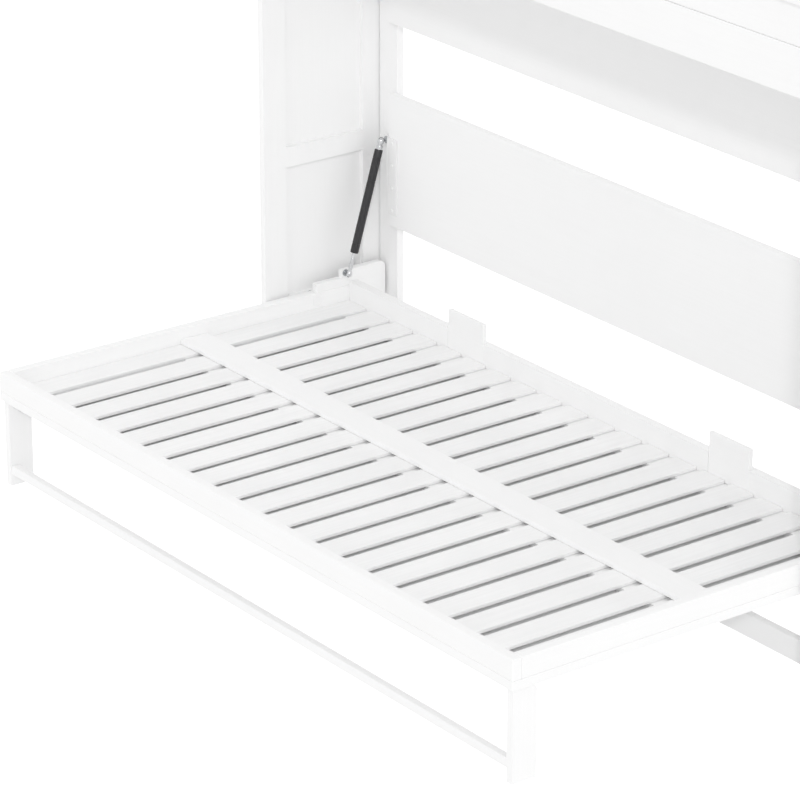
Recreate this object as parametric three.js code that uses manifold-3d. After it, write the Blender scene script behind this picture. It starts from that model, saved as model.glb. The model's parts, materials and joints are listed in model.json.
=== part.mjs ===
// Side-folding cabinet bed for one twin mattress.
//
// Millimetres, +Z up. X runs along the cabinet, the room is towards -Y and the wall is
// behind +Y. The bed is modelled lowered, standing on its leg frame. The origin is on the
// floor, under the middle of the whole object. Distances along Y are first measured back
// from the front face of the lowered bed, and the outer group centres them at the end.

import * as THREE from 'three';
import { mergeVertices } from 'three/addons/utils/BufferGeometryUtils.js';
import Module from 'manifold-3d';

const wasm = await Module();
wasm.setup();

// ---------- driving dimensions ----------

const fitGap = 0.3; // between pieces that touch
const edgeChamfer = 1.5; // broken edges of the painted boards
const turnSegments = 24; // sides of a turned piece

// slat deck
const slatCount = 20;
const slatWidth = 73;
const slatGap = 25;
const slatThickness = 9;
const centreBoardWidth = 80;
const centreBoardThickness = 12;
const centreBoardFromFront = 483; // inner face of the front rail to the board

// bed frame
const innerDepth = 998; // front rail to back rail, for a mattress 991 wide
const railThickness = 24;
const railHeight = 50;
const backRailHeight = 59;
const underPanelThickness = 23;
const underPanelBorder = 90;
const underPanelCentreBorder = 104;
const underPanelRecess = 5; // outer face of the frame to the inset panels
const insetThickness = 6;
const stopWidth = 140; // mattress stops on the back rail
const stopThickness = 12;
const stopRise = 51; // above the back rail
const stopFromCentre = 487;
const armLength = 135;
const armThickness = 16;
const armRise = 41; // above the side rail
const armLap = 45; // full-height length of the arm that sits on the side rail
const armStepLength = 81; // low front part of the arm, over the pivot
const armStepRise = 22;
const armCornerRadius = 16;

// leg frame
const legHeight = 217;
const legWidth = 20; // along X
const legDepth = 64; // along Y
const legInset = 7; // behind the outer faces of the rails
const legTopGap = 1;
const legHingeRadius = 16; // rounding of the leg about its hinge
const legPinRadius = 4;
const legPinDepth = 14; // into the leg
const legPinHeadRadius = 8;
const legPinHeadHeight = 4;
const stretcherDepth = 20;
const stretcherHeight = 23;
const stretcherLift = 30; // above the floor
const stretcherSetback = 2; // behind the front of the legs
const bracketLength = 32;
const bracketWidth = 36;
const bracketDrop = 30;
const bracketSheet = 4;

// pivot of the bed
const pivotFromRear = 122; // in front of the rear face of the side rails
const pivotAboveRail = 29; // above the underside of the side rail
const pivotRadius = 6;
const pivotHeadRadius = 13;
const pivotHeadHeight = 6;
const pivotCollarRadius = 17;
const pivotNutRadius = 11;
const pivotNutHeight = 5;

// cabinet
const sideGap = 11; // bed rail to cabinet side
const sideThickness = 20;
const sideFieldDepth = 12; // of the recessed fields inside each cabinet side
const stileWidth = 70;
const sideBottomRailTop = 286;
const sideMidRailBottom = 627;
const sideMidRailHeight = 52;
const sideTopRailHeight = 80;
const closedRecess = 84; // closed bed behind the front edge of the sides
const armRearGap = 7; // end of the arm to the rear uprights
const uprightSideGap = 4; // open line between the upright and the cabinet side
const uprightWidth = 78; // from the cabinet side, the open line included
const backBoardThickness = 20;
const midBoardBottom = 438;
const midBoardHeight = 350;
const upperBoardBottom = 970;
const upperBoardHeight = 350;
const baseRailHeight = 57;
const baseRailThickness = 20;
const baseRailSetback = 78; // behind the front edge of the sides
const closedTopGap = 126; // closed bed to the header
const headerHeight = 107;
const headerThickness = 20;
const fasciaHeight = 93;
const fasciaThickness = 12;
const fasciaSetback = 4;
const topThickness = 22;
const topFrontOverhang = 10;
const topSideOverhang = 8;

// gas struts
const strutFromRail = 15.5; // inner face of the side rail to the strut axis
const strutLowerAboveRail = 35;
const strutLowerFromRear = 35;
const strutBelowBoardTop = 129; // upper ball under the top of the middle back board
const strutUpperFromUpright = 31;
const strutPlateWidth = 35;
const strutPlateHeight = 202;
const strutPlateSheet = 3;
const strutPlateAboveBall = 13;
const strutEarHeight = 32;
const strutEarPastBall = 14; // towards the cabinet side
const strutEarFromBall = 18; // ball centre to the face of the ear
const ballRadius = 5.5;
const studNeckRadius = 3;
const studFlangeRadius = 9;
const studFlangeHeight = 3;
const socketRadius = 8.5;
const socketNeckRadius = 5.5;
const socketLength = 22; // ball centre to the tube
const tubeRadius = 10.5;
const tubeWall = 2;
const rodShown = 56; // tube to the lower ball centre, with the bed lowered
const glandLength = 12;
const rodRadius = 4;
const pistonLength = 12;
const pistonReserve = 30; // piston to gland with the bed closed
const rodEndRadius = 7;
const rodEndLength = 24;

// ---------- derived places ----------

const innerHalf = (slatCount * slatWidth + (slatCount - 1) * slatGap) / 2;
const outerHalf = innerHalf + railThickness;
const bedDepth = innerDepth + 2 * railThickness;
const backRailFront = bedDepth - railThickness;

const panelBottom = legHeight + legTopGap;
const railBottom = panelBottom + underPanelThickness;
const railTop = railBottom + railHeight;
const slatTop = railBottom + slatThickness;
const backRailTop = railBottom + backRailHeight;

const pivotY = bedDepth - pivotFromRear;
const pivotZ = railBottom + pivotAboveRail;

const armRear = bedDepth - armLap + armLength;
const sideInner = outerHalf + sideGap;
const sideOuter = sideInner + sideThickness;
const sideFront = pivotY - (pivotZ - panelBottom) - closedRecess;
const uprightFront = armRear + armRearGap;
const cabinetBack = uprightFront + backBoardThickness;
const boardFront = uprightFront - backBoardThickness;
const headerBottom = pivotZ + pivotY + closedTopGap;
const sideTop = headerBottom + headerHeight + fasciaHeight;

const legHingeY = legInset + legDepth - legHingeRadius;
const legHingeZ = panelBottom - legHingeRadius - legTopGap;
const legOuter = outerHalf - legInset;
const legInner = legOuter - legWidth;

const strutX = innerHalf - strutFromRail;
const uprightInner = sideInner - uprightWidth;
const boardHalf = (uprightInner + strutX - studFlangeRadius) / 2; // laps the uprights, clear of the studs
const midBoardTop = midBoardBottom + midBoardHeight;
const strutUpper = { y: uprightFront - strutUpperFromUpright, z: midBoardTop - strutBelowBoardTop };
const strutLower = { y: bedDepth - strutLowerFromRear, z: railTop + strutLowerAboveRail };
const strutClosed = { y: pivotY + strutLower.z - pivotZ, z: pivotZ + pivotY - strutLower.y };
const strutReachY = strutUpper.y - strutLower.y;
const strutReachZ = strutUpper.z - strutLower.z;
const strutLength = Math.hypot(strutReachY, strutReachZ);
const strutLean = Math.atan2(strutReachY, strutReachZ);
const closedLength = Math.hypot(strutUpper.y - strutClosed.y, strutUpper.z - strutClosed.z);
const tubeLength = strutLength - socketLength - rodShown;
const pistonFromGland = closedLength - strutLength + pistonReserve;

// ---------- materials ----------

function material(color, roughness, metalness = 0) {
  return new THREE.MeshStandardMaterial({ color, roughness, metalness });
}

const whitePaint = material(0xf3f3f1, 0.5);
const deckPaint = material(0xeeeeec, 0.55);
const charcoalTube = material(0x3f4042, 0.45, 0.3);
const brightSteel = material(0xc9cacc, 0.25, 1);
const whiteSteel = material(0xf3f3f3, 0.42, 0.1);

// ---------- helpers ----------

const cabinet = new THREE.Group();
const bed = new THREE.Group();
const legFrame = new THREE.Group();
const struts = new THREE.Group();

function addMesh(group, name, geometry, finish, x = 0, y = 0, z = 0) {
  const mesh = new THREE.Mesh(geometry, finish);
  mesh.name = name;
  mesh.position.set(x, y, z);
  group.add(mesh);
  return mesh;
}

// Rectangle with cut corners, centred on the origin.
function chamferedRectangle(width, height, cut) {
  const w = width / 2;
  const h = height / 2;
  const shape = new THREE.Shape();
  shape.moveTo(-w + cut, -h);
  shape.lineTo(w - cut, -h);
  shape.lineTo(w, -h + cut);
  shape.lineTo(w, h - cut);
  shape.lineTo(w - cut, h);
  shape.lineTo(-w + cut, h);
  shape.lineTo(-w, h - cut);
  shape.lineTo(-w, -h + cut);
  shape.closePath();
  return shape;
}

// Board with every edge broken, centred on the origin.
function boardGeometry(width, depth, height) {
  const cut = Math.min(edgeChamfer, width / 4, depth / 4, height / 4);
  const geometry = new THREE.ExtrudeGeometry(chamferedRectangle(width, depth, cut), {
    depth: height - 2 * cut,
    bevelEnabled: true,
    bevelThickness: cut,
    bevelSize: cut,
    bevelOffset: -cut,
    bevelSegments: 1,
  });
  geometry.translate(0, 0, cut - height / 2);
  return geometry;
}

// Board from its two opposite corners.
function addBoard(group, name, finish, [x0, x1], [y0, y1], [z0, z1]) {
  const geometry = boardGeometry(x1 - x0, y1 - y0, z1 - z0);
  return addMesh(group, name, geometry, finish, (x0 + x1) / 2, (y0 + y1) / 2, (z0 + z1) / 2);
}

// Flat plate whose outline lies in the YZ plane, from x0 to x1.
function plateAlongX(shape, x0, x1, curveSegments = 8) {
  const geometry = new THREE.ExtrudeGeometry(shape, {
    depth: x1 - x0,
    bevelEnabled: false,
    curveSegments,
  });
  const axes = new THREE.Matrix4().makeBasis(
    new THREE.Vector3(0, 1, 0),
    new THREE.Vector3(0, 0, 1),
    new THREE.Vector3(1, 0, 0),
  );
  geometry.applyMatrix4(axes);
  geometry.translate(x0, 0, 0);
  return geometry;
}

// Turned piece about Z from (radius, height) pairs that start and end on the axis.
function turned(profile) {
  const points = profile.map(([radius, height]) => new THREE.Vector2(radius, height));
  const geometry = new THREE.LatheGeometry(points, turnSegments);
  geometry.rotateX(Math.PI / 2);
  return geometry;
}

function toSolid(geometry) {
  const plain = geometry.clone();
  plain.deleteAttribute('normal');
  plain.deleteAttribute('uv');
  const merged = mergeVertices(plain, 1e-4);
  return new wasm.Manifold(new wasm.Mesh({
    numProp: 3,
    vertProperties: new Float32Array(merged.attributes.position.array),
    triVerts: new Uint32Array(merged.index.array),
  }));
}

function fromSolid(solid) {
  const mesh = solid.getMesh();
  const geometry = new THREE.BufferGeometry();
  geometry.setAttribute('position', new THREE.BufferAttribute(mesh.vertProperties, 3));
  geometry.setIndex(new THREE.BufferAttribute(mesh.triVerts, 1));
  geometry.computeVertexNormals();
  return geometry;
}

function cutAway(geometry, tools) {
  let solid = toSolid(geometry);
  for (const tool of tools) {
    solid = solid.subtract(toSolid(tool));
  }
  return fromSolid(solid);
}

function joined(geometries) {
  const [first, ...others] = geometries.map(toSolid);
  return fromSolid(others.reduce((solid, other) => solid.add(other), first));
}

// Mirrors an indexed geometry in the YZ plane and turns its triangles to face outwards.
function mirrorX(geometry) {
  geometry.scale(-1, 1, 1);
  const corners = geometry.index.array;
  for (let first = 0; first < corners.length; first += 3) {
    [corners[first], corners[first + 1]] = [corners[first + 1], corners[first]];
  }
  geometry.computeVertexNormals();
}

function cylinderAlongX(radius, x0, x1, y, z) {
  const geometry = new THREE.CylinderGeometry(radius, radius, Math.abs(x1 - x0), turnSegments);
  geometry.rotateZ(Math.PI / 2);
  geometry.translate((x0 + x1) / 2, y, z);
  return geometry;
}

// ---------- bed: slat deck ----------

function addSlats() {
  for (let index = 0; index < slatCount; index += 1) {
    const x0 = -innerHalf + index * (slatWidth + slatGap);
    const left = index === 0 ? x0 + fitGap : x0;
    const right = index === slatCount - 1 ? x0 + slatWidth - fitGap : x0 + slatWidth;
    addBoard(
      bed,
      `slat_${String(index + 1).padStart(2, '0')}`,
      deckPaint,
      [left, right],
      [railThickness + fitGap, backRailFront - fitGap],
      [railBottom, slatTop],
    );
  }
}

function addCentreBoard() {
  const front = railThickness + centreBoardFromFront;
  addBoard(
    bed,
    'centre_board',
    deckPaint,
    [-innerHalf + fitGap, innerHalf - fitGap],
    [front, front + centreBoardWidth],
    [slatTop + fitGap, slatTop + fitGap + centreBoardThickness],
  );
}

// ---------- bed: rails ----------

function addFrontRail() {
  const across = [-outerHalf, outerHalf];
  addBoard(bed, 'front_rail', whitePaint, across, [0, railThickness], [railBottom, railTop]);
}

// Side rail with the bore for the pivot bolt and a pocket for the bolt's head.
function addSideRail(side, name) {
  const length = bedDepth - railThickness - fitGap;
  const geometry = boardGeometry(railThickness, length, railHeight);
  const x = side * (innerHalf + railThickness / 2);
  const y = bedDepth - length / 2;
  const z = (railBottom + railTop) / 2;
  geometry.translate(x, y, z);
  const bore = cylinderAlongX(
    pivotRadius + fitGap,
    side * (innerHalf - railThickness),
    side * (outerHalf + railThickness),
    pivotY,
    pivotZ,
  );
  const pocket = cylinderAlongX(
    pivotHeadRadius + fitGap,
    side * (innerHalf - railThickness),
    side * (innerHalf + pivotHeadHeight + fitGap),
    pivotY,
    pivotZ,
  );
  addMesh(bed, name, cutAway(geometry, [bore, pocket]), whitePaint);
}

// Back rail with a rebate for each mattress stop.
function addBackRail() {
  const half = innerHalf - fitGap;
  const stopHalf = stopWidth / 2 + fitGap;
  const rebate = stopThickness + fitGap;
  const shape = new THREE.Shape();
  shape.moveTo(-half, railThickness);
  shape.lineTo(-half, 0);
  for (const centre of [-stopFromCentre, stopFromCentre]) {
    shape.lineTo(centre - stopHalf, 0);
    shape.lineTo(centre - stopHalf, rebate);
    shape.lineTo(centre + stopHalf, rebate);
    shape.lineTo(centre + stopHalf, 0);
  }
  shape.lineTo(half, 0);
  shape.lineTo(half, railThickness);
  shape.closePath();
  const geometry = new THREE.ExtrudeGeometry(shape, { depth: backRailHeight, bevelEnabled: false });
  addMesh(bed, 'back_rail', geometry, whitePaint, 0, backRailFront, railBottom);
}

function addMattressStop(side, name) {
  addBoard(
    bed,
    name,
    whitePaint,
    [side * stopFromCentre - stopWidth / 2, side * stopFromCentre + stopWidth / 2],
    [backRailFront, backRailFront + stopThickness],
    [railBottom, backRailTop + stopRise],
  );
}

// Arm that sits on the rear end of the side rail and reaches back behind it. Its low front
// part runs on over the pivot.
function addRearArm(side, name) {
  const front = bedDepth - armLap;
  const top = railTop + armRise;
  const stepTop = railTop + armStepRise;
  const behind = bedDepth + fitGap;
  const shape = new THREE.Shape();
  shape.moveTo(front, stepTop);
  shape.lineTo(front - armStepLength, stepTop);
  shape.lineTo(front - armStepLength, railTop + fitGap);
  shape.lineTo(behind, railTop + fitGap);
  shape.lineTo(behind, railBottom);
  shape.lineTo(armRear, railBottom);
  shape.lineTo(armRear, top - armCornerRadius);
  shape.absarc(armRear - armCornerRadius, top - armCornerRadius, armCornerRadius, 0, Math.PI / 2);
  shape.lineTo(front, top);
  shape.closePath();
  const inner = side * innerHalf;
  const outer = side * (innerHalf + armThickness);
  const geometry = plateAlongX(shape, Math.min(inner, outer), Math.max(inner, outer));
  addMesh(bed, name, geometry, whitePaint);
}

// Frame under the rails, which is the cabinet's front when the bed is closed. The slats
// lie on it, and two thin panels are set into its windows.
function addUnderPanel() {
  const thickness = underPanelThickness - fitGap;
  const frame = boardGeometry(2 * outerHalf, bedDepth, thickness);
  frame.translate(0, bedDepth / 2, panelBottom + thickness / 2);
  const windowWidth = 2 * (outerHalf - underPanelBorder);
  const windowDepth = (bedDepth - 2 * underPanelBorder - underPanelCentreBorder) / 2;
  const fromMiddle = (windowDepth + underPanelCentreBorder) / 2;
  const insetMiddle = panelBottom + underPanelRecess + insetThickness / 2;
  const windows = [];
  for (const [direction, word] of [[-1, 'front'], [1, 'rear']]) {
    const y = bedDepth / 2 + direction * fromMiddle;
    const opening = new THREE.BoxGeometry(windowWidth, windowDepth, 3 * underPanelThickness);
    opening.translate(0, y, panelBottom);
    windows.push(opening);
    const inset = boardGeometry(
      windowWidth - 2 * fitGap,
      windowDepth - 2 * fitGap,
      insetThickness,
    );
    addMesh(bed, `inset_panel_${word}`, inset, whitePaint, 0, y, insetMiddle);
  }
  addMesh(bed, 'panel_frame', cutAway(frame, windows), whitePaint);
}

// ---------- leg frame ----------

function addLeg(side, name) {
  const front = legInset;
  const rear = legInset + legDepth;
  const top = legHingeZ + legHingeRadius;
  const shape = new THREE.Shape();
  shape.moveTo(front, 0);
  shape.lineTo(rear, 0);
  shape.lineTo(rear, legHingeZ);
  shape.absarc(legHingeY, legHingeZ, legHingeRadius, 0, Math.PI / 2);
  shape.lineTo(front, top);
  shape.closePath();
  const inner = side * legInner;
  const outer = side * legOuter;
  const geometry = plateAlongX(shape, Math.min(inner, outer), Math.max(inner, outer));
  const bore = cylinderAlongX(
    legPinRadius + fitGap,
    side * (legInner - legWidth),
    side * (legInner + legPinDepth + fitGap),
    legHingeY,
    legHingeZ,
  );
  addMesh(legFrame, name, cutAway(geometry, [bore]), whitePaint);
}

function addStretcher() {
  const front = legInset + stretcherSetback;
  addBoard(
    legFrame,
    'leg_stretcher',
    whitePaint,
    [-legInner + fitGap, legInner - fitGap],
    [front, front + stretcherDepth],
    [stretcherLift, stretcherLift + stretcherHeight],
  );
}

// Steel angle under the panel: its cheek carries the hinge pin beside the leg.
function addLegBracket(side, name) {
  const outer = legInner - fitGap;
  const top = panelBottom - fitGap;
  const shape = new THREE.Shape();
  shape.moveTo(outer, top);
  shape.lineTo(outer - bracketWidth, top);
  shape.lineTo(outer - bracketWidth, top - bracketSheet);
  shape.lineTo(outer - bracketSheet, top - bracketSheet);
  shape.lineTo(outer - bracketSheet, top - bracketDrop);
  shape.lineTo(outer, top - bracketDrop);
  shape.closePath();
  const geometry = new THREE.ExtrudeGeometry(shape, { depth: bracketLength, bevelEnabled: false });
  geometry.rotateX(Math.PI / 2);
  geometry.translate(0, legHingeY + bracketLength / 2, 0);
  const bore = cylinderAlongX(
    legPinRadius + fitGap,
    outer + bracketSheet,
    outer - 2 * bracketSheet,
    legHingeY,
    legHingeZ,
  );
  const angle = cutAway(geometry, [bore]);
  if (side < 0) {
    angle.rotateZ(Math.PI);
    angle.translate(0, 2 * legHingeY, 0);
  }
  addMesh(bed, name, angle, brightSteel);
}

function addLegPin(side, name) {
  const shankEnd = legInner + legPinDepth;
  const headFace = legInner - bracketSheet - 2 * fitGap;
  const geometry = turned([
    [0, headFace - legPinHeadHeight],
    [legPinHeadRadius, headFace - legPinHeadHeight],
    [legPinHeadRadius, headFace],
    [legPinRadius, headFace],
    [legPinRadius, shankEnd],
    [0, shankEnd],
  ]);
  geometry.rotateY((side * Math.PI) / 2);
  addMesh(bed, name, geometry, brightSteel, 0, legHingeY, legHingeZ);
}

// ---------- cabinet: sides ----------

// Side board with two recessed fields on its inner face and a hole for the pivot bolt.
function addCabinetSide(side, name) {
  const depth = cabinetBack - sideFront;
  const board = boardGeometry(sideThickness, depth, sideTop);
  board.translate(side * (sideInner + sideThickness / 2), sideFront + depth / 2, sideTop / 2);
  const fieldWidth = depth - 2 * stileWidth;
  const fieldY = sideFront + depth / 2;
  const fields = [
    [sideBottomRailTop, sideMidRailBottom],
    [sideMidRailBottom + sideMidRailHeight, sideTop - sideTopRailHeight],
  ];
  const tools = fields.map(([bottom, top]) => {
    const field = new THREE.BoxGeometry(2 * sideFieldDepth, fieldWidth, top - bottom);
    field.translate(side * sideInner, fieldY, (bottom + top) / 2);
    return field;
  });
  const reach = 2 * sideThickness;
  const holeRadius = pivotRadius + fitGap;
  const holeEnds = [side * (sideInner - reach), side * (sideOuter + reach)];
  tools.push(cylinderAlongX(holeRadius, ...holeEnds, pivotY, pivotZ));
  addMesh(cabinet, name, cutAway(board, tools), whitePaint);
}

// Shoulder bolt: head in the side rail, collar in the gap, nut outside the cabinet.
function addPivotBolt(side, name) {
  const collarStart = outerHalf + fitGap;
  const collarEnd = sideInner - fitGap;
  const nutFace = sideOuter + fitGap;
  const geometry = turned([
    [0, innerHalf],
    [pivotHeadRadius, innerHalf],
    [pivotHeadRadius, innerHalf + pivotHeadHeight],
    [pivotRadius, innerHalf + pivotHeadHeight],
    [pivotRadius, collarStart],
    [pivotCollarRadius, collarStart],
    [pivotCollarRadius, collarEnd],
    [pivotRadius, collarEnd],
    [pivotRadius, nutFace],
    [pivotNutRadius, nutFace],
    [pivotNutRadius, nutFace + pivotNutHeight],
    [0, nutFace + pivotNutHeight],
  ]);
  geometry.rotateY((side * Math.PI) / 2);
  addMesh(cabinet, name, geometry, brightSteel, 0, pivotY, pivotZ);
}

// ---------- cabinet: back, base and top ----------

function addUpright(side, name) {
  const outer = side * (sideInner - uprightSideGap);
  const inner = side * uprightInner;
  const across = [Math.min(inner, outer), Math.max(inner, outer)];
  addBoard(cabinet, name, whitePaint, across, [uprightFront, cabinetBack], [0, sideTop]);
}

function addBackBoard(name, bottom, height) {
  const depth = [boardFront, uprightFront - fitGap];
  addBoard(cabinet, name, whitePaint, [-boardHalf, boardHalf], depth, [bottom, bottom + height]);
}

function addCrossRails() {
  const half = sideInner - fitGap;
  const across = [-half, half];
  const baseFront = sideFront + baseRailSetback;
  const baseDepth = [baseFront, baseFront + baseRailThickness];
  addBoard(cabinet, 'base_rail', whitePaint, across, baseDepth, [0, baseRailHeight]);
  const headerDepth = [sideFront, sideFront + headerThickness];
  const headerTop = headerBottom + headerHeight;
  addBoard(cabinet, 'header_rail', whitePaint, across, headerDepth, [headerBottom, headerTop]);
  const fasciaFront = sideFront + fasciaSetback;
  const fasciaDepth = [fasciaFront, fasciaFront + fasciaThickness];
  addBoard(cabinet, 'fascia_board', whitePaint, across, fasciaDepth, [headerTop + fitGap, sideTop]);
}

function addTopPanel() {
  const half = sideOuter + topSideOverhang;
  addBoard(
    cabinet,
    'top_panel',
    whitePaint,
    [-half, half],
    [sideFront - topFrontOverhang, cabinetBack],
    [sideTop + fitGap, sideTop + fitGap + topThickness],
  );
}

// ---------- gas struts ----------

// Half circle of a ball from its neck to its crown, as (radius, height) pairs.
function ballProfile(radius, neckRadius, centre, steps = 8) {
  const start = Math.asin(neckRadius / radius);
  const points = [];
  for (let step = 0; step < steps; step += 1) {
    const angle = start + ((Math.PI - start) * step) / steps;
    points.push([radius * Math.sin(angle), centre - radius * Math.cos(angle)]);
  }
  points.push([0, centre + radius]);
  return points;
}

// Steel plate on the end of the middle back board. Its ear is bent round the board's end
// and carries a riveted ball stud that points at the room.
function addStrutBracket(side, name) {
  const front = boardFront - fitGap - strutPlateSheet;
  const earFace = strutUpper.y + strutEarFromBall;
  const webInner = boardHalf + fitGap;
  const webOuter = webInner + strutPlateSheet;
  const plateInner = boardHalf - strutPlateWidth;
  const earOuter = strutX + strutEarPastBall;
  const top = strutUpper.z + strutPlateAboveBall;
  const plate = new THREE.BoxGeometry(webOuter - plateInner, strutPlateSheet, strutPlateHeight);
  plate.translate((webOuter + plateInner) / 2, front + strutPlateSheet / 2, top - strutPlateHeight / 2);
  const profile = new THREE.Shape();
  profile.moveTo(plateInner, front);
  profile.lineTo(webOuter, front);
  profile.lineTo(webOuter, earFace);
  profile.lineTo(earOuter, earFace);
  profile.lineTo(earOuter, earFace + strutPlateSheet);
  profile.lineTo(webInner, earFace + strutPlateSheet);
  profile.lineTo(webInner, front + strutPlateSheet);
  profile.lineTo(plateInner, front + strutPlateSheet);
  profile.closePath();
  const ear = new THREE.ExtrudeGeometry(profile, { depth: strutEarHeight, bevelEnabled: false });
  ear.translate(0, 0, top - strutEarHeight);
  const bracket = joined([plate, ear, ballStud()]);
  if (side < 0) {
    mirrorX(bracket);
  }
  addMesh(cabinet, name, bracket, whiteSteel);
}

// Ball stud riveted through the ear, along -Y.
function ballStud() {
  const geometry = turned([
    [0, -strutPlateSheet / 2],
    [studNeckRadius, -strutPlateSheet / 2],
    [studNeckRadius, 0],
    [studFlangeRadius, 0],
    [studFlangeRadius, studFlangeHeight],
    [studNeckRadius, studFlangeHeight],
    ...ballProfile(ballRadius, studNeckRadius, strutEarFromBall),
  ]);
  geometry.rotateX(Math.PI / 2);
  geometry.translate(strutX, strutUpper.y + strutEarFromBall, strutUpper.z);
  return geometry;
}

// Stud on the inner face of the arm, which ends beside the rod's end fitting.
function addLowerStud(side, name) {
  const length = strutFromRail - rodEndRadius - 2 * fitGap;
  const geometry = turned([
    [0, 0],
    [studFlangeRadius, 0],
    [studFlangeRadius, studFlangeHeight],
    [ballRadius, studFlangeHeight],
    [ballRadius, length],
    [0, length],
  ]);
  geometry.rotateY((-side * Math.PI) / 2);
  const x = side * (innerHalf - fitGap);
  addMesh(bed, name, geometry, brightSteel, x, strutLower.y, strutLower.z);
}

// Group whose local -Z runs down the strut from its upper ball.
function strutGroup(side) {
  const group = new THREE.Group();
  group.position.set(side * strutX, strutUpper.y, strutUpper.z);
  group.rotation.x = -strutLean;
  struts.add(group);
  return group;
}

// Pressure tube with its upper socket, open at the bottom for the rod.
function addStrutTube(group, name) {
  const end = -socketLength - tubeLength;
  const outside = [
    [0, socketRadius],
    [socketRadius * 0.7, socketRadius * 0.7],
    [socketRadius, 0],
    [socketRadius * 0.7, -socketRadius * 0.9],
    [socketNeckRadius, -socketRadius * 1.2],
    [socketNeckRadius, -socketLength],
    [tubeRadius - tubeWall / 2, -socketLength],
    [tubeRadius, -socketLength - tubeWall / 2],
    [tubeRadius, end + tubeWall / 2],
    [tubeRadius - tubeWall / 2, end],
  ];
  const inside = [
    [rodRadius + fitGap, end],
    [rodRadius + fitGap, end + glandLength],
    [tubeRadius - tubeWall, end + glandLength],
    [tubeRadius - tubeWall, -socketLength - 2 * tubeWall],
    [0, -socketLength - 2 * tubeWall],
  ];
  const body = turned([...outside, ...inside].reverse());
  const cavity = new THREE.SphereGeometry(ballRadius + fitGap, turnSegments, turnSegments / 2);
  const throatRadius = studNeckRadius + 1.5;
  const throat = new THREE.CylinderGeometry(throatRadius, throatRadius, 2 * socketRadius, turnSegments);
  throat.translate(0, socketRadius, 0);
  throat.rotateX(strutLean);
  addMesh(group, name, cutAway(body, [cavity, throat]), charcoalTube);
}

// Rod with its piston inside the tube and its end fitting at the bed's arm.
function addStrutRod(group, name) {
  const pistonTop = -socketLength - tubeLength + glandLength + pistonFromGland;
  const pistonRadius = tubeRadius - tubeWall - fitGap;
  const pistonBottom = pistonTop - pistonLength;
  const fittingTop = -strutLength + rodEndLength - rodEndRadius;
  const geometry = turned([
    [0, -strutLength - rodEndRadius],
    [rodEndRadius * 0.7, -strutLength - rodEndRadius * 0.7],
    [rodEndRadius, -strutLength],
    [rodEndRadius, fittingTop - 2],
    [rodEndRadius - 2, fittingTop],
    [rodRadius, fittingTop],
    [rodRadius, pistonBottom],
    [pistonRadius, pistonBottom],
    [pistonRadius, pistonTop],
    [0, pistonTop],
  ]);
  addMesh(group, name, geometry, brightSteel);
}

// ---------- assembly ----------

addSlats();
addCentreBoard();
addFrontRail();
addBackRail();
addUnderPanel();
addStretcher();
addBackBoard('mid_back_board', midBoardBottom, midBoardHeight);
addBackBoard('upper_back_board', upperBoardBottom, upperBoardHeight);
addCrossRails();
addTopPanel();

for (const [side, word] of [[-1, 'left'], [1, 'right']]) {
  addSideRail(side, `side_rail_${word}`);
  addMattressStop(side, `mattress_stop_${word}`);
  addRearArm(side, `rear_arm_${word}`);
  addLeg(side, `leg_${word}`);
  addLegBracket(side, `leg_bracket_${word}`);
  addLegPin(side, `leg_pin_${word}`);
  addCabinetSide(side, `cabinet_side_${word}`);
  addPivotBolt(side, `pivot_bolt_${word}`);
  addUpright(side, `rear_upright_${word}`);
  addStrutBracket(side, `strut_bracket_${word}`);
  addLowerStud(side, `strut_lower_stud_${word}`);
  const group = strutGroup(side);
  addStrutTube(group, `strut_tube_${word}`);
  addStrutRod(group, `strut_rod_${word}`);
}

const murphyBed = new THREE.Group();
murphyBed.add(cabinet, bed, legFrame, struts);
murphyBed.position.y = -cabinetBack / 2;

export default murphyBed;
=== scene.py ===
# %% [markdown]
# # A side-folding cabinet bed, finished in Blender
#
# The wooden frame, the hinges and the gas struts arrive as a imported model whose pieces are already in
# place. This lesson paints them, turns the parts of the struts properly on a lathe of our own, drives in
# the screws, and lights the bed as a studio would. Nothing that came with the model is moved.

# %% Load the model and keep its size
import json
import math

import bmesh
import bpy
from mathutils import Matrix, Vector


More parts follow.
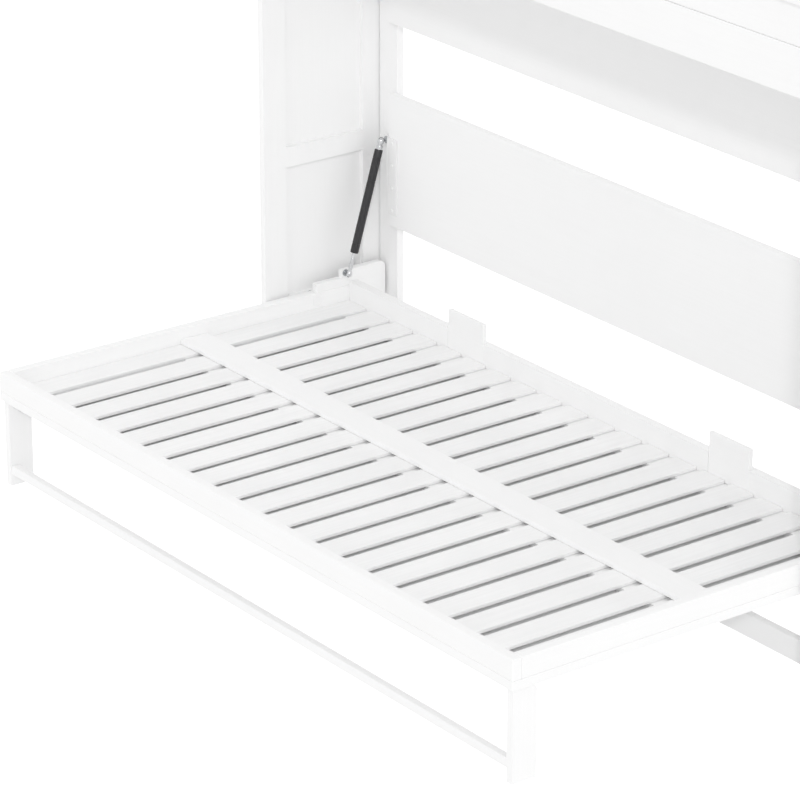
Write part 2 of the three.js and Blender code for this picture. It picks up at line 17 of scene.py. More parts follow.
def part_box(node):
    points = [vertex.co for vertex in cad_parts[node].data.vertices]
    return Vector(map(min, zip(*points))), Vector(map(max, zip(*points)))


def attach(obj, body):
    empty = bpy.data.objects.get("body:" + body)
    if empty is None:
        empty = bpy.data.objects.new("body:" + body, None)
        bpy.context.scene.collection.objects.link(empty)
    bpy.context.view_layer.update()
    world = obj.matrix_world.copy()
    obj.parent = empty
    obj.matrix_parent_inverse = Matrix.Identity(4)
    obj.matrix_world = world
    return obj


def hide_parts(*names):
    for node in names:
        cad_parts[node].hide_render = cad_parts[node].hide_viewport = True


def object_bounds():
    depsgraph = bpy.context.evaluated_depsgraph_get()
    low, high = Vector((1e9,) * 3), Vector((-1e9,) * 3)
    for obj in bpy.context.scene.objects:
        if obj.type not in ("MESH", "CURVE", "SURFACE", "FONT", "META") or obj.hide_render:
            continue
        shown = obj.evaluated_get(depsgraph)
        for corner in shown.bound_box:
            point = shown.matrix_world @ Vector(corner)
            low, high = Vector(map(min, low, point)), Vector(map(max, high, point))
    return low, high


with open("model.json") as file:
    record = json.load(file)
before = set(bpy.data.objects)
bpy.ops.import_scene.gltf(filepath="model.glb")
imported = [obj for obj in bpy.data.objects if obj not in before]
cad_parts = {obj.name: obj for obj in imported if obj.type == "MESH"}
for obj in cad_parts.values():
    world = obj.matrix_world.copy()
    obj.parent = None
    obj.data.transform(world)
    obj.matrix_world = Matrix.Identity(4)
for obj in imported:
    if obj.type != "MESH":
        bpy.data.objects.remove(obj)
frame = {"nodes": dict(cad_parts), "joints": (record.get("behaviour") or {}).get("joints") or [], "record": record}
nodes = frame["nodes"]
joints = {joint["name"]: joint for joint in frame["joints"]}
model_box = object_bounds()
MM = 0.001  # one millimetre in metres
SIDES = {"left": -1, "right": 1}
print("nodes:", len(nodes), "joints:", sorted(joints))

# %% [markdown]
# ## Camera
#
# A long lens from far away keeps parallel boards almost parallel, which is how furniture is usually
# shown. The camera stands to the right of the bed and a little above it, and looks at a point above
# the rear of the slats.

# %% Place the camera
CAMERA_AZIMUTH = math.radians(53.10)
CAMERA_ELEVATION = math.radians(22.16)
CAMERA_DISTANCE = 9.1375
LENS_MM = 184.3

front_rail_low, front_rail_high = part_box("front_rail")
look_at = Vector((102.5 * MM, front_rail_low.y + 380 * MM, 481 * MM))
towards_camera = Vector((
    math.sin(CAMERA_AZIMUTH) * math.cos(CAMERA_ELEVATION),
    -math.cos(CAMERA_AZIMUTH) * math.cos(CAMERA_ELEVATION),
    math.sin(CAMERA_ELEVATION),
))
camera_data = bpy.data.cameras.new("long_lens")
camera_data.lens = LENS_MM
camera_data.sensor_width = 36
camera = bpy.data.objects.new("camera", camera_data)
camera.location = look_at + CAMERA_DISTANCE * towards_camera
camera.rotation_euler = (-towards_camera).to_track_quat("-Z", "Y").to_euler()
bpy.context.scene.collection.objects.link(camera)
bpy.context.scene.camera = camera
print("camera at", [round(value, 3) for value in camera.location])

# %% [markdown]
# ## Light
#
# The bed is white on white, so the shape only shows through small differences: the outer right faces are
# the brightest, the fronts a little darker and the tops darker still. A bright sky on every side does
# most of the work, and one small lamp from the right, a little above the eye, gives the header its
# shadow on the upper board. The plain view transform keeps the whites white.

# %% Light the bed
LAMP_DIRECTION = Vector((0.70, -0.54, 0.48))  # from the bed to the lamp
LAMP_STRENGTH = 0.55
LAMP_ANGLE = math.radians(3)
SKY_STRENGTH = 0.92

scene = bpy.context.scene
scene.view_settings.view_transform = "Standard"
world = bpy.data.worlds.new("white_sky")
world.use_nodes = True
world.node_tree.nodes["Background"].inputs["Color"].default_value = (1, 1, 1, 1)
world.node_tree.nodes["Background"].inputs["Strength"].default_value = SKY_STRENGTH
scene.world = world

lamp_data = bpy.data.lights.new("soft_lamp", "SUN")
lamp_data.energy = LAMP_STRENGTH
lamp_data.angle = LAMP_ANGLE
lamp = bpy.data.objects.new("soft_lamp", lamp_data)
lamp.rotation_euler = LAMP_DIRECTION.to_track_quat("Z", "Y").to_euler()
scene.collection.objects.link(lamp)
print("lamp elevation", round(math.degrees(math.asin(LAMP_DIRECTION.normalized().z)), 1))

# %% [markdown]
# ## Helpers for finishes
#
# Colours are written as the hex codes a paint shop would give, and one function turns them into the
# linear values that a shader works with. A second one adds a node, sets it and links it.

# %% Colour and node helpers
def linear(code):
    """A hex colour such as F4F4F2 as linear red, green, blue and 1."""
    channels = [int(code[start:start + 2], 16) / 255 for start in (0, 2, 4)]
    return [c / 12.92 if c <= 0.04045 else ((c + 0.055) / 1.055) ** 2.4 for c in channels] + [1.0]


def add(tree, kind, inputs=None, **settings):
    """Adds a node, sets its properties, and fills its inputs with values or links them to sockets."""
    made = tree.nodes.new(kind)
    for name, value in settings.items():
        setattr(made, name, value)
    for name, value in (inputs or {}).items():
        if isinstance(value, bpy.types.NodeSocket):
            tree.links.new(value, made.inputs[name])
        else:
            made.inputs[name].default_value = value
    return made


def new_material(name):
    """An empty material: its node tree and its Principled shader."""
    material = bpy.data.materials.new(name)
    material.use_nodes = True
    return material, material.node_tree, material.node_tree.nodes["Principled BSDF"]


print("mid grey, linear:", [round(value, 3) for value in linear("808080")])

# %% [markdown]
# ## Sprayed satin enamel
#
# The boards are MDF and poplar under a sprayed white enamel. Up close such a coat is never quite even:
# it clouds a little over a hand's width, the grain of the wood below prints through as long faint
# streaks, and the spray leaves a fine skin like an orange's. Each of these is one noise pattern at its
# real size. The skin's real cells are about 1.5 mm, and they are drawn at 4 mm so that they show.

# %% Mix the enamel
CLOUD_MM = 220
STREAK_LENGTH_MM = 260
STREAK_WIDTH_MM = 5
SKIN_MM = 4


def sprayed_enamel(name, light, dark, grain_axis, grain_height_mm):
    """White enamel whose grain runs along axis 0, 1 or 2; light and dark are its hex colours."""
    material, tree, shader = new_material(name)
    place = add(tree, "ShaderNodeTexCoord").outputs["Object"]
    streak_scale = [1 / (STREAK_WIDTH_MM * MM)] * 3
    streak_scale[grain_axis] = 1 / (STREAK_LENGTH_MM * MM)
    along = add(tree, "ShaderNodeMapping", {"Vector": place, "Scale": streak_scale})
    streaks = add(tree, "ShaderNodeTexNoise",
                  {"Vector": along.outputs["Vector"], "Scale": 1.0, "Detail": 3.0, "Roughness": 0.55})
    clouds = add(tree, "ShaderNodeTexNoise",
                 {"Vector": place, "Scale": 1 / (CLOUD_MM * MM), "Detail": 2.0})
    skin = add(tree, "ShaderNodeTexNoise",
               {"Vector": place, "Scale": 1 / (SKIN_MM * MM), "Detail": 1.0})
    tone = add(tree, "ShaderNodeMath", {0: streaks.outputs["Fac"], 1: clouds.outputs["Fac"]},
               operation="MULTIPLY")
    spread = add(tree, "ShaderNodeMapRange",
                 {"Value": tone.outputs["Value"], "From Min": 0.12, "From Max": 0.40})
    colour = add(tree, "ShaderNodeMix",
                 {"Factor": spread.outputs["Result"], "A": linear(dark), "B": linear(light)},
                 data_type="RGBA")
    gloss = add(tree, "ShaderNodeMapRange",
                {"Value": clouds.outputs["Fac"], "From Min": 0.3, "From Max": 0.7,
                 "To Min": 0.52, "To Max": 0.40})
    grain = add(tree, "ShaderNodeBump",
                {"Height": streaks.outputs["Fac"], "Strength": 0.35, "Distance": grain_height_mm * MM})
    peel = add(tree, "ShaderNodeBump",
               {"Height": skin.outputs["Fac"], "Strength": 0.25, "Distance": 0.06 * MM,
                "Normal": grain.outputs["Normal"]})
    tree.links.new(colour.outputs["Result"], shader.inputs["Base Color"])
    tree.links.new(gloss.outputs["Result"], shader.inputs["Roughness"])
    tree.links.new(peel.outputs["Normal"], shader.inputs["Normal"])
    shader.inputs["IOR"].default_value = 1.5
    return material


ALONG_X, ALONG_Y, ALONG_Z = 0, 1, 2
enamel = {
    axis: sprayed_enamel(f"sprayed_enamel_{'xyz'[axis]}", "FBFBFB", "F9F9F9", axis, 0.02)
    for axis in (ALONG_X, ALONG_Y, ALONG_Z)
}
slat_enamel = sprayed_enamel("thin_enamel_on_poplar", "FBFBFB", "F4F4F4", ALONG_Y, 0.10)
print("enamels:", [material.name for material in enamel.values()], slat_enamel.name)

# %% [markdown]
# ## Paint every board
#
# Grain follows a board's longest side, so the finish is chosen from the board's own box. The two cabinet
# sides and the uprights stand, so theirs runs up; the slats have a thinner coat of their own.

# %% Paint the boards
def long_axis(node):
    """0, 1 or 2: the axis that a board's longest side runs along."""
    low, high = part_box(node)
    sizes = list(high - low)
    return sizes.index(max(sizes))


def dress(node, material):
    """Gives a node of the model its finish."""
    nodes[node].data.materials.clear()
    nodes[node].data.materials.append(material)


record = frame["record"]
slot_of = {part["node"]: part["material_slot"] for part in record["subparts"]}
for node, slot in slot_of.items():
    if slot == "white_paint":
        dress(node, enamel[long_axis(node)])
    elif node.startswith("slat_"):
        dress(node, slat_enamel)
    elif slot == "deck_paint":
        dress(node, enamel[ALONG_X])
print("painted", sum(slot in ("white_paint", "deck_paint") for slot in slot_of.values()), "boards")

# %% [markdown]
# ## Metals and plastic
#
# The strut's tube is steel under black powder coat, which is dull and very slightly pebbled. The plate
# that carries the strut and its screws have the same coat in white, and the cover caps are moulded in
# white ABS, whose mould leaves much the same skin, so one function makes all three. The rod is ground
# and hard chromed, so it mirrors the white room. Leg brackets, pins and the other screws are zinc
# plated, which is paler and cloudier than chrome, and the spring clips are blued.

# %% Make the metals
PEBBLE_MM = 0.9
SPANGLE_MM = 6


def pebbled(name, light, dark):
    """A dull skin of fine pebbles, as powder coat and moulded plastic have."""
    material, tree, shader = new_material(name)
    place = add(tree, "ShaderNodeTexCoord").outputs["Object"]
    pebbles = add(tree, "ShaderNodeTexNoise",
                  {"Vector": place, "Scale": 1 / (PEBBLE_MM * MM), "Detail": 2.0})
    colour = add(tree, "ShaderNodeMix",
                 {"Factor": pebbles.outputs["Fac"], "A": linear(dark), "B": linear(light)},
                 data_type="RGBA")
    bump = add(tree, "ShaderNodeBump",
               {"Height": pebbles.outputs["Fac"], "Strength": 0.3, "Distance": 0.05 * MM})
    tree.links.new(colour.outputs["Result"], shader.inputs["Base Color"])
    tree.links.new(bump.outputs["Normal"], shader.inputs["Normal"])
    shader.inputs["Roughness"].default_value = 0.42
    return material


def plated_steel(name, light, dark, smooth, rough):
    """Bare or plated metal, clouded between two colours and two roughnesses."""
    material, tree, shader = new_material(name)
    place = add(tree, "ShaderNodeTexCoord").outputs["Object"]
    spangle = add(tree, "ShaderNodeTexNoise",
                  {"Vector": place, "Scale": 1 / (SPANGLE_MM * MM), "Detail": 3.0})
    colour = add(tree, "ShaderNodeMix",
                 {"Factor": spangle.outputs["Fac"], "A": linear(dark), "B": linear(light)},
                 data_type="RGBA")
    gloss = add(tree, "ShaderNodeMapRange",
                {"Value": spangle.outputs["Fac"], "To Min": smooth, "To Max": rough})
    tree.links.new(colour.outputs["Result"], shader.inputs["Base Color"])
    tree.links.new(gloss.outputs["Result"], shader.inputs["Roughness"])
    shader.inputs["Metallic"].default_value = 1.0
    return material


black_coat = pebbled("black_powder_coat", "323234", "262628")
white_coat = pebbled("white_powder_coat", "F8F8F8", "F2F2F2")
white_plastic = pebbled("moulded_white_abs", "F9F9F9", "F5F5F5")
hard_chrome = plated_steel("hard_chrome", "E4E5E7", "CFD0D2", 0.08, 0.2)
zinc = plated_steel("zinc_plated_steel", "C6C8CA", "A6A8AB", 0.25, 0.45)
blued_steel = plated_steel("blued_spring_steel", "3A3B3F", "1E1F22", 0.25, 0.4)
for node, slot in slot_of.items():
    if slot == "bright_steel":
        dress(node, zinc)
print("coats:", black_coat.name, white_coat.name, white_plastic.name)
print("metals:", hard_chrome.name, zinc.name, blued_steel.name)

# %% [markdown]
# ## A lathe
#
# Tubes, rods, sockets and screw heads are turned pieces. Blender's spin tool would do it, but a short
# loop over a profile is easier to follow: every point of the profile becomes a ring, and rings are
# joined by four-sided faces. A point on the axis becomes a single vertex. Beside it stand two small
# helpers: one applies modifiers to a shape, and one puts a finished piece on its body.

# %% Turn a profile
def turned_mesh(name, profile, segments=48, smooth_below=40):
    """A closed mesh about Z from (radius, height) pairs in millimetres that start and end on the axis."""
    shape = bmesh.new()
    rings = []
    for radius, height in profile:
        if radius == 0:
            rings.append([shape.verts.new((0, 0, height * MM))])
            continue
        turn = [2 * math.pi * step / segments for step in range(segments)]
        rings.append([
            shape.verts.new((radius * MM * math.cos(a), radius * MM * math.sin(a), height * MM))
            for a in turn
        ])
    for lower, upper in zip(rings, rings[1:]):
        for step in range(segments):
            following = (step + 1) % segments
            corners = [lower[step % len(lower)], lower[following % len(lower)],
                       upper[following % len(upper)], upper[step % len(upper)]]
            shape.faces.new(list(dict.fromkeys(corners)))
    bmesh.ops.recalc_face_normals(shape, faces=shape.faces)
    mesh = bpy.data.meshes.new(name)
    shape.to_mesh(mesh)
    shape.free()
    mesh.shade_smooth()
    mesh.set_sharp_from_angle(angle=math.radians(smooth_below))
    return mesh


def finished_mesh(data, modifiers=()):
    """The mesh that a mesh or a curve becomes with (type, settings) modifiers applied."""
    holder = bpy.data.objects.new("holder", data)
    scene.collection.objects.link(holder)
    for kind, settings in modifiers:
        modifier = holder.modifiers.new(kind.lower(), kind)
        for name, value in settings.items():
            setattr(modifier, name, value)
    result = bpy.data.meshes.new_from_object(holder.evaluated_get(bpy.context.evaluated_depsgraph_get()))
    bpy.data.objects.remove(holder)
    return result


def add_piece(name, mesh, material, body, slot, place=None):
    """Puts a mesh into the scene as a piece that rides on a body."""
    mesh.materials.clear()
    mesh.materials.append(material)
    piece = bpy.data.objects.new(name, mesh)
    scene.collection.objects.link(piece)
    piece.matrix_world = place or Matrix.Identity(4)
    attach(piece, body)
    return piece


print("helpers:", turned_mesh.__name__, finished_mesh.__name__, add_piece.__name__)

# %% [markdown]
# ## Gas struts
#
# A gas strut is a tube of oil and nitrogen, closed at the bottom by a guide that the rod slides
# through. Both ends snap over ball studs, and a spring clip keeps each socket on its ball. The tube
# is the one dark thing on this bed, so it is turned again here with more sides than the model has,
# with its rolled end, the three fine beads that the press leaves, and a bright collar at the top.

# %% Measure the struts
TUBE_START_MM = 22  # from the upper ball's centre
TUBE_LENGTH_MM = 270
TUBE_RADIUS_MM = 10.5
BEADS_AT = (0.085, 0.30, 0.91)  # shares of the tube's length
BEAD_WIDTH_MM = 2.2
BEAD_DEPTH_MM = 0.7


def strut_axes(side):
    """The upper ball's centre, the direction down the strut, and the distance to the lower ball."""
    upper = Vector(joints[f"strut_swing_{side}"]["pos_m"])
    down = Vector(joints[f"strut_slide_{side}"]["axis"]).normalized()
    stud_low, stud_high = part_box(f"strut_lower_stud_{side}")
    lower_height = (stud_low.z + stud_high.z) / 2
    return upper, down, (lower_height - upper.z) / down.z


def along_strut(upper, down):
    """The place of a piece turned about Z whose heights count down the strut from the upper ball."""
    return Matrix.Translation(upper) @ down.to_track_quat("Z", "Y").to_matrix().to_4x4()


for side in SIDES:
    ball, direction, reach = strut_axes(side)
    print(side, "upper ball", [round(v, 4) for v in ball], "reach mm", round(reach / MM, 1))

# %% Turn the tube and its collar
def tube_profile():
    """The tube with its beads, from its upper end to the rolled end that the rod comes out of."""
    end = TUBE_START_MM + TUBE_LENGTH_MM
    profile = [(0, TUBE_START_MM), (9.2, TUBE_START_MM), (10.1, TUBE_START_MM + 0.5),
               (TUBE_RADIUS_MM, TUBE_START_MM + 1.6)]
    for share in BEADS_AT:
        middle = TUBE_START_MM + share * TUBE_LENGTH_MM
        profile += [
            (TUBE_RADIUS_MM, middle - BEAD_WIDTH_MM / 2),
            (TUBE_RADIUS_MM - BEAD_DEPTH_MM, middle - BEAD_WIDTH_MM / 5),
            (TUBE_RADIUS_MM - BEAD_DEPTH_MM, middle + BEAD_WIDTH_MM / 5),
            (TUBE_RADIUS_MM, middle + BEAD_WIDTH_MM / 2),
        ]
    profile += [(TUBE_RADIUS_MM, end - 2.5), (10.1, end - 1.0), (9.0, end - 0.2), (7.8, end),
                (7.4, end - 0.6), (4.6, end - 0.9), (0, end - 0.9)]
    return profile


def socket_profile():
    """The upper socket and its collar, from above the ball down to the tube."""
    return [(0, -8.5), (3.6, -8.1), (6.3, -6.4), (8.2, -3.4), (8.6, 0), (8.4, 3.0), (7.4, 6.0),
            (6.0, 8.2), (5.6, 9.6), (5.8, 10.6), (7.6, 11.4), (8.0, 12.2), (8.0, 17.6), (7.6, 18.4),
            (6.2, 18.8), (6.2, TUBE_START_MM), (0, TUBE_START_MM)]


for side in SIDES:
    ball, direction, reach = strut_axes(side)
    place = along_strut(ball, direction)
    body = f"strut_tube_{side}"
    tube = add_piece(f"strut_tube_body_{side}", turned_mesh("tube", tube_profile(), 64), black_coat,
                     body, "strut_tube", place)
    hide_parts(f"strut_tube_{side}")
    add_piece(f"strut_upper_socket_{side}", turned_mesh("socket", socket_profile()), hard_chrome,
              body, "bright_steel", place)
print("tube profile points:", len(tube_profile()))

# %% [markdown]
# The rod ends in a threaded shank that screws into the lower socket. A real thread there has a pitch of
# 1.25 mm; it is drawn at 3 mm, as plain rings, so that it can be seen as a ribbed, glinting stretch.

# %% Turn the rod and its lower socket
ROD_RADIUS_MM = 4
PISTON_RADIUS_MM = 8
PISTON_HEIGHT_MM = 12
PISTON_RECESS_MM = 4  # below the top of the model's rod
SHANK_FROM_BALL_MM = 9
CLIP_WIRE_MM = 1.6
CLIP_RADIUS_MM = {"upper": 8.8, "lower": 7.3}
CLIP_STEPS = 24
CLIP_OPENING_DEGREES = 90
SHANK_LENGTH_MM = 38
SHANK_PITCH_MM = 3
SHANK_RADIUS_MM = 5.0
THREAD_DEPTH_MM = 0.7


def rod_profile(reach_mm, inside_mm):
    """From the piston inside the tube down to the lower socket, whose ball centre is at reach_mm."""
    piston_base = inside_mm + PISTON_HEIGHT_MM
    shank_top = reach_mm - SHANK_FROM_BALL_MM - SHANK_LENGTH_MM
    profile = [(0, inside_mm), (PISTON_RADIUS_MM, inside_mm), (PISTON_RADIUS_MM, piston_base),
               (ROD_RADIUS_MM, piston_base), (ROD_RADIUS_MM, shank_top - 1),
               (SHANK_RADIUS_MM - THREAD_DEPTH_MM, shank_top)]
    for turn in range(int(SHANK_LENGTH_MM / SHANK_PITCH_MM)):
        start = shank_top + turn * SHANK_PITCH_MM
        profile += [(SHANK_RADIUS_MM, start + 1.0), (SHANK_RADIUS_MM, start + 1.8),
                    (SHANK_RADIUS_MM - THREAD_DEPTH_MM, start + SHANK_PITCH_MM)]
    profile += [(5.4, reach_mm - 7.6), (6.4, reach_mm - 5.6), (7.0, reach_mm - 2.4),
                (7.0, reach_mm + 1.0), (6.3, reach_mm + 3.6), (4.4, reach_mm + 5.9),
                (2.0, reach_mm + 6.9), (0, reach_mm + 7.0)]
    return profile


def clip_mesh(radius_mm):
    """A spring clip: three quarters of a ring of wire about X, with its open part turned upwards."""
    curve = bpy.data.curves.new("clip", "CURVE")
    curve.dimensions = "3D"
    curve.bevel_depth = CLIP_WIRE_MM * MM / 2
    curve.bevel_resolution = 3
    curve.use_fill_caps = True
    spline = curve.splines.new("POLY")
    spline.points.add(CLIP_STEPS)
    for index in range(CLIP_STEPS + 1):
        share = index / CLIP_STEPS
        angle = math.radians(-CLIP_OPENING_DEGREES / 2 + (360 - CLIP_OPENING_DEGREES) * share)
        spline.points[index].co = (0, radius_mm * MM * math.sin(angle), radius_mm * MM * math.cos(angle), 1)
    return finished_mesh(curve)


for side, sign in SIDES.items():
    ball, direction, reach = strut_axes(side)
    place = along_strut(ball, direction)
    rod_low, rod_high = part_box(f"strut_rod_{side}")
    inside = (rod_high.z - ball.z) / direction.z / MM + PISTON_RECESS_MM
    outline = rod_profile(reach / MM, inside)
    rod = add_piece(f"strut_rod_shaft_{side}", turned_mesh("rod", outline), hard_chrome,
                    f"strut_rod_{side}", "bright_steel", place)
    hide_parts(f"strut_rod_{side}")
    for end, distance, body in (("upper", 0, f"strut_tube_{side}"), ("lower", reach, f"strut_rod_{side}")):
        centre = Matrix.Translation(ball + distance * direction)
        clip = clip_mesh(CLIP_RADIUS_MM[end])
        add_piece(f"strut_{end}_clip_{side}", clip, blued_steel, body, "bright_steel", centre)
print("rod profile points:", len(outline))

# %% [markdown]
# ## Strut brackets
#
# Each strut hangs from a plate on the end of the middle back board. The plate is one piece of 3 mm sheet
# steel, with an ear bent round the board's end. It is drawn the way a sheet-metal worker would think of
# it: the middle surface first, folded along two lines, its free corners rounded, then Solidify for the
# thickness and a small Bevel for the broken edges. The ball stud riveted through the ear is turned.

# %% Fold the brackets
SHEET_MM = 3
FIT_MM = 0.3  # between the plate and the board
PLATE_WIDTH_MM = 35  # on the board's face
EAR_HEIGHT_MM = 32
EAR_FROM_BALL_MM = 18  # ball centre to the face of the ear
PLATE_CORNER_MM = 6
EDGE_MM = 0.5


def plate_front():
    """Where the plate's front face lies: just in front of the middle back board."""
    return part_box("mid_back_board")[0].y - (FIT_MM + SHEET_MM) * MM


def bracket_mesh(sign, low, high):
    """The folded sheet of one bracket, which fills its node's box from low to high."""
    half = SHEET_MM * MM / 2
    board_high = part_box("mid_back_board")[1]
    bend_x = board_high.x + (FIT_MM + SHEET_MM / 2) * MM
    plate_x = board_high.x - PLATE_WIDTH_MM * MM
    ear_x = max(abs(low.x), abs(high.x))
    plate_y = plate_front() + half
    ear_y = high.y - half
    foot, ear_foot, top = low.z, high.z - EAR_HEIGHT_MM * MM, high.z
    shape = bmesh.new()

    def vertex(x, y, z):
        return shape.verts.new((sign * x, y, z))

    plate = [vertex(plate_x, plate_y, foot), vertex(bend_x, plate_y, foot),
             vertex(bend_x, plate_y, ear_foot), vertex(bend_x, plate_y, top),
             vertex(plate_x, plate_y, top)]
    web = [vertex(bend_x, ear_y, ear_foot), vertex(bend_x, ear_y, top)]
    ear = [vertex(ear_x, ear_y, ear_foot), vertex(ear_x, ear_y, top)]
    shape.faces.new(plate)
    shape.faces.new([plate[2], web[0], web[1], plate[3]])
    shape.faces.new([web[0], ear[0], ear[1], web[1]])
    bmesh.ops.recalc_face_normals(shape, faces=shape.faces)
    corners = [plate[0], plate[1], plate[4], ear[0], ear[1]]
    bmesh.ops.bevel(shape, geom=corners, offset=PLATE_CORNER_MM * MM, segments=5, profile=0.5,
                    affect="VERTICES")
    mesh = bpy.data.meshes.new("bracket")
    shape.to_mesh(mesh)
    shape.free()
    return finished_mesh(mesh, [
        ("SOLIDIFY", {"thickness": SHEET_MM * MM, "offset": 0, "use_even_offset": True}),
        ("BEVEL", {"width": EDGE_MM * MM, "segments": 2, "limit_method": "ANGLE"}),
    ])


def stud_profile():
    """A ball stud from its rivet head, through its flange, to the top of the ball."""
    return [(0, -4.5), (4.2, -4.5), (4.2, -3.4), (3.6, -3.0), (3.0, -1.5), (8.6, 0), (9.0, 0.4), (9.0, 2.4),
            (8.4, 3.0), (4.2, 3.2), (3.0, 4.4), (3.0, 12.8), (3.6, 13.8), (5.0, 15.6), (5.5, 18.0),
            (5.0, 20.4), (3.6, 22.1), (1.8, 23.2), (0, 23.5)]


for side, sign in SIDES.items():
    low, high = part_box(f"strut_bracket_{side}")
    bracket = add_piece(f"strut_plate_{side}", bracket_mesh(sign, low, high), white_coat, "cabinet",
                        "white_steel")
    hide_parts(f"strut_bracket_{side}")
    ball, direction, reach = strut_axes(side)
    stud_place = Matrix.Translation((ball.x, ball.y + EAR_FROM_BALL_MM * MM, ball.z))
    stud_place @= Matrix.Rotation(math.radians(90), 4, "X")
    add_piece(f"strut_upper_stud_{side}", turned_mesh("stud", stud_profile()), zinc, "cabinet",
              "bright_steel", stud_place)
    print(side, "bracket box mm", [round(v / MM, 1) for v in (*low, *high)])

# %% [markdown]
# ## Screws
#
# Steel plates are held by pan-head screws with a cross recess, about 8 mm across, white on the strut's
# plate and zinc plated on the leg brackets. The head is turned on our lathe and the recess is cut out
# with a Boolean modifier, because the recess is what says screw at a glance. One head is made, and every
# plate gets copies of it joined into one piece.

# %% Make one screw head
HEAD_RADIUS_MM = 4.2
HEAD_HEIGHT_MM = 2.3
RECESS_LENGTH_MM = 5.0
RECESS_WIDTH_MM = 1.1
RECESS_DEPTH_MM = 1.2


def recess_bar(length_mm, width_mm):
    """An object that cuts one bar of the cross recess, sunk to its depth in the head's top."""
    bar = bmesh.new()
    size = [length_mm * MM, width_mm * MM, 2 * RECESS_DEPTH_MM * MM]
    bmesh.ops.create_cube(bar, size=1, matrix=Matrix.Diagonal((*size, 1)))
    mesh = bpy.data.meshes.new("recess_bar")
    bar.to_mesh(mesh)
    bar.free()
    mesh.transform(Matrix.Translation((0, 0, HEAD_HEIGHT_MM * MM)))
    cutter = bpy.data.objects.new("recess_bar", mesh)
    scene.collection.objects.link(cutter)
    return cutter


def screw_head_mesh():
    profile = [(0, 0), (HEAD_RADIUS_MM, 0), (HEAD_RADIUS_MM, 0.5), (3.9, 1.2), (3.1, 1.8), (1.8, 2.2),
               (0, HEAD_HEIGHT_MM)]
    bars = [recess_bar(RECESS_LENGTH_MM, RECESS_WIDTH_MM), recess_bar(RECESS_WIDTH_MM, RECESS_LENGTH_MM)]
    cuts = [("BOOLEAN", {"object": bar, "solver": "EXACT"}) for bar in bars]
    head = finished_mesh(turned_mesh("screw_head", profile, 32), cuts)
    for bar in bars:
        bpy.data.objects.remove(bar)
    return head


screw_head = screw_head_mesh()
print("screw head faces:", len(screw_head.polygons))


# %% Drive the screws
FIRST_TURN_DEGREES = 11
NEXT_TURN_DEGREES = 37  # a person never stops two screws at the same angle


def screws(name, points, outward, material, body, slot, head=screw_head):
    """Copies of one head at several points, all facing outward, joined into one piece."""
    joined = bmesh.new()
    turn = Vector(outward).to_track_quat("Z", "Y").to_matrix().to_4x4()
    for index, point in enumerate(points):
        copy = head.copy()
        spin = Matrix.Rotation(math.radians(NEXT_TURN_DEGREES * index + FIRST_TURN_DEGREES), 4, "Z")
        copy.transform(Matrix.Translation(point) @ turn @ spin)
        joined.from_mesh(copy)
        bpy.data.meshes.remove(copy)
    mesh = bpy.data.meshes.new(name)
    joined.to_mesh(mesh)
    joined.free()
    mesh.shade_smooth()
    mesh.set_sharp_from_angle(angle=math.radians(35))
    return add_piece(name, mesh, material, body, slot)


PLATE_SCREWS = 4
PLATE_SCREW_FROM_BOARD_END_MM = 17
PLATE_SCREW_FROM_EDGE_MM = 12
LEG_SCREW_FROM_EDGE_MM = 8
LEG_SCREW_INWARD_MM = 2  # from the middle of the bracket towards the middle of the bed
LEG_FLANGE_MM = 4.1  # from the bracket's top to the underside of its flange
for side, sign in SIDES.items():
    low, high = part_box(f"strut_bracket_{side}")
    screw_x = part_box("mid_back_board")[1].x - PLATE_SCREW_FROM_BOARD_END_MM * MM
    lowest = low.z + PLATE_SCREW_FROM_EDGE_MM * MM
    span = high.z - low.z - 2 * PLATE_SCREW_FROM_EDGE_MM * MM
    points = [
        Vector((sign * screw_x, plate_front(), lowest + span * step / (PLATE_SCREWS - 1)))
        for step in range(PLATE_SCREWS)
    ]
    screws(f"strut_plate_screws_{side}", points, (0, -1, 0), white_coat, "cabinet", "white_steel")
    low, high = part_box(f"leg_bracket_{side}")
    screw_x = (low.x + high.x) / 2 - sign * LEG_SCREW_INWARD_MM * MM
    inset = LEG_SCREW_FROM_EDGE_MM * MM
    points = [Vector((screw_x, y, high.z - LEG_FLANGE_MM * MM)) for y in (low.y + inset, high.y - inset)]
    screws(f"leg_bracket_screws_{side}", points, (0, 0, -1), zinc, "bed", "bright_steel")
print("screws on each plate:", PLATE_SCREWS, "and on each leg bracket:", len(points))

# %% [markdown]
# ## Cover caps
#
# Where a screw or bolt would show on painted wood, the maker presses a thin white plastic cap over it: a
# wide one over each pivot bolt inside the side rails, and small ones outside the cabinet, where long
# screws run into the header, the base rail and the uprights. A cap is a very low dome on the lathe.

# %% Press the caps on
PIVOT_CAP_RADIUS_MM = 15
PIVOT_CAP_RISE_MM = 0.9
CAP_RADIUS_MM = 6.5
CAP_RISE_MM = 0.5
CAP_EDGE_MM = 0.7
RAIL_SHARES = (0.25, 0.75)  # of a rail's height
UPRIGHT_CAPS_M = (0.3, 0.75, 1.2)  # above the floor


def cap_mesh(name, radius_mm, rise_mm):
    """A low dome of the given radius that rises above its edge."""
    rim = [(0, 0), (radius_mm, 0), (radius_mm, CAP_EDGE_MM * 0.6), (radius_mm - 0.4, CAP_EDGE_MM)]
    dome = [(radius_mm * share, CAP_EDGE_MM + rise_mm * (1 - share ** 2)) for share in (0.8, 0.55, 0.3)]
    return turned_mesh(name, rim + dome + [(0, CAP_EDGE_MM + rise_mm)], 40)


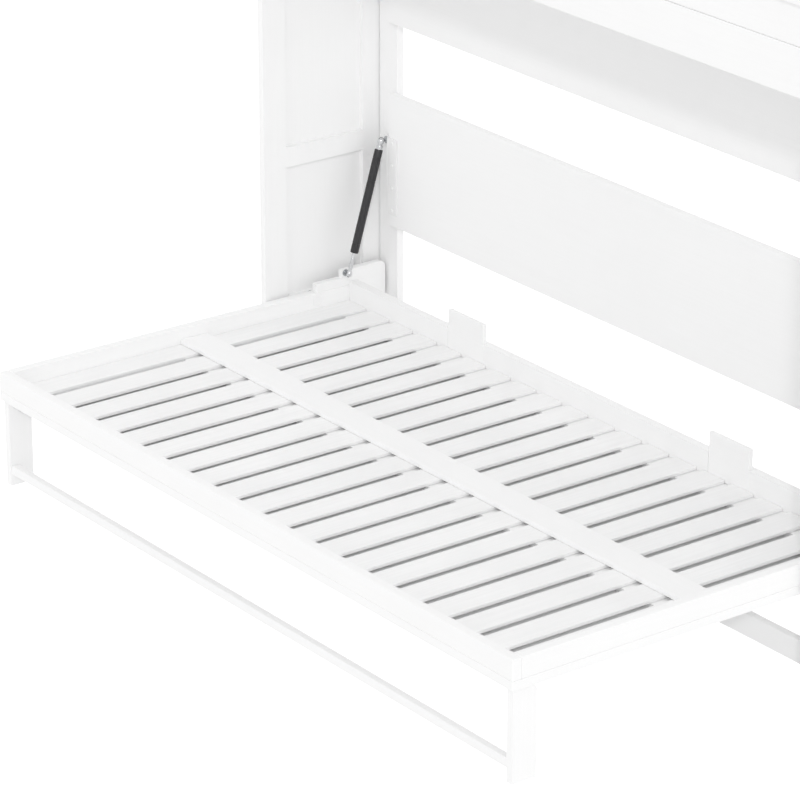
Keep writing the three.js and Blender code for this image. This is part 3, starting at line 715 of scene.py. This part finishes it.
pivot_cap = cap_mesh("pivot_cap", PIVOT_CAP_RADIUS_MM, PIVOT_CAP_RISE_MM)
small_cap = cap_mesh("small_cap", CAP_RADIUS_MM, CAP_RISE_MM)
pivot = Vector(joints["bed_fold"]["pos_m"])
for side, sign in SIDES.items():
    rail_low, rail_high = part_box(f"side_rail_{side}")
    rail_face = min(abs(rail_low.x), abs(rail_high.x))
    screws(f"pivot_cap_{side}", [Vector((sign * rail_face, pivot.y, pivot.z))], (-sign, 0, 0),
           white_plastic, "cabinet", "white_paint", pivot_cap)
    side_low, side_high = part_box(f"cabinet_side_{side}")
    outer = max(abs(side_low.x), abs(side_high.x))
    places = []
    for node in ("header_rail", "base_rail"):
        low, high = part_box(node)
        middle_y = (low.y + high.y) / 2
        places += [(middle_y, low.z + share * (high.z - low.z)) for share in RAIL_SHARES]
    low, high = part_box(f"rear_upright_{side}")
    places += [((low.y + high.y) / 2, height) for height in UPRIGHT_CAPS_M]
    points = [Vector((sign * outer, y, z)) for y, z in places]
    screws(f"side_caps_{side}", points, (sign, 0, 0), white_plastic, "cabinet", "white_paint", small_cap)
print("caps on each side:", len(places))

# %% [markdown]
# ## Studio floor
#
# The floor is plain and white. A white floor that lit the bed from below as strongly as it looks would
# flatten the fronts, so it has two strengths: a low one for the bed, and one on top for the eye only.

# %% Lay the floor
FLOOR_SIZE = 60  # metres
FLOOR_DROP_MM = 0.5  # so that the feet and the floor don't share a plane
FLOOR_BOUNCE = 0.33  # what the bed receives
FLOOR_GLOW = 0.7  # what only the eye sees, on top
floor_material, floor_tree, floor_shader = new_material("pale_floor")
seen_directly = add(floor_tree, "ShaderNodeLightPath").outputs["Is Camera Ray"]
glow = add(floor_tree, "ShaderNodeMath", {0: seen_directly, 1: FLOOR_GLOW, 2: FLOOR_BOUNCE},
           operation="MULTIPLY_ADD")
floor_tree.links.new(glow.outputs["Value"], floor_shader.inputs["Emission Strength"])
floor_shader.inputs["Base Color"].default_value = linear("C8C8C8")
floor_shader.inputs["Roughness"].default_value = 0.9
floor_shader.inputs["Emission Color"].default_value = (1, 1, 1, 1)
floor_shape = bmesh.new()
bmesh.ops.create_grid(floor_shape, x_segments=1, y_segments=1, size=FLOOR_SIZE / 2)
floor_mesh = bpy.data.meshes.new("floor")
floor_shape.to_mesh(floor_mesh)
floor_shape.free()
floor_mesh.materials.append(floor_material)
floor = bpy.data.objects.new("floor", floor_mesh)
floor.location.z = model_box[0][2] - FLOOR_DROP_MM * MM
scene.collection.objects.link(floor)
print("floor at mm", round(floor.location.z / MM, 2))
